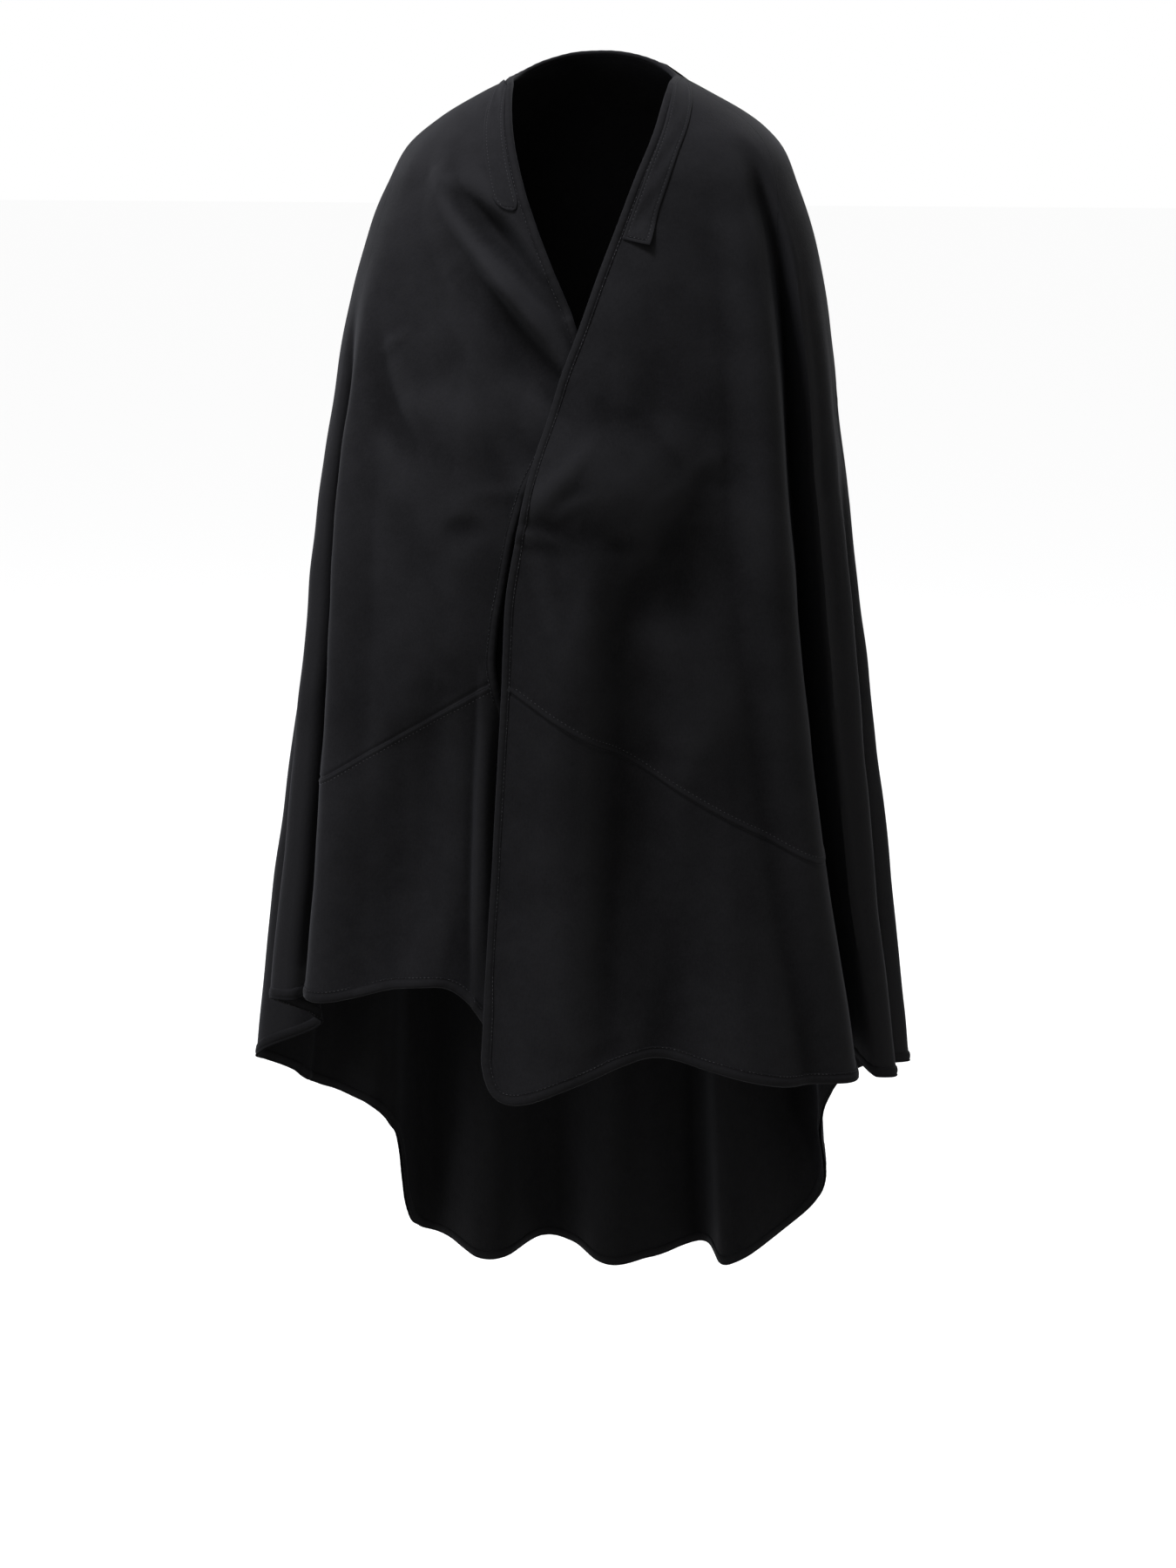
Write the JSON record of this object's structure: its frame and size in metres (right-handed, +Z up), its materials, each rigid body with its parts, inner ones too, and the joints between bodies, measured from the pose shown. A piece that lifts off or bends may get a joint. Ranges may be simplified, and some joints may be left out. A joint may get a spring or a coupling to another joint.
{
  "type": "burnous hooded cloak",
  "caption": "Long hooded wool cloak worn closed at the front: lapped fronts with sewn gores, a long drooping back with a hood, bound edges and neck bands.",
  "frame": {"origin": "middle of the neck, where the wearer's neck and shoulders hold the cloak up", "axes": "+Z up, -Y the way the front faces, +X the wearer's left"},
  "size_m": [0.7327, 0.4967, 1.4114],
  "materials": {
    "wool": "matt fulled wool with a short nap",
    "trim": "matt wool braid, folded and stitched"
  },
  "bodies": {
    "root": {"back": "wool", "front_right": "wool", "gore_right": "wool", "front_left": "wool", "gore_left": "wool", "hood": "wool", "stand": "wool", "band_right": "trim", "band_left": "trim", "binding_right": "trim", "binding_left": "trim", "binding_back": "trim", "binding_hood": "trim", "binding_stand": "trim"}
  },
  "joints": []
}
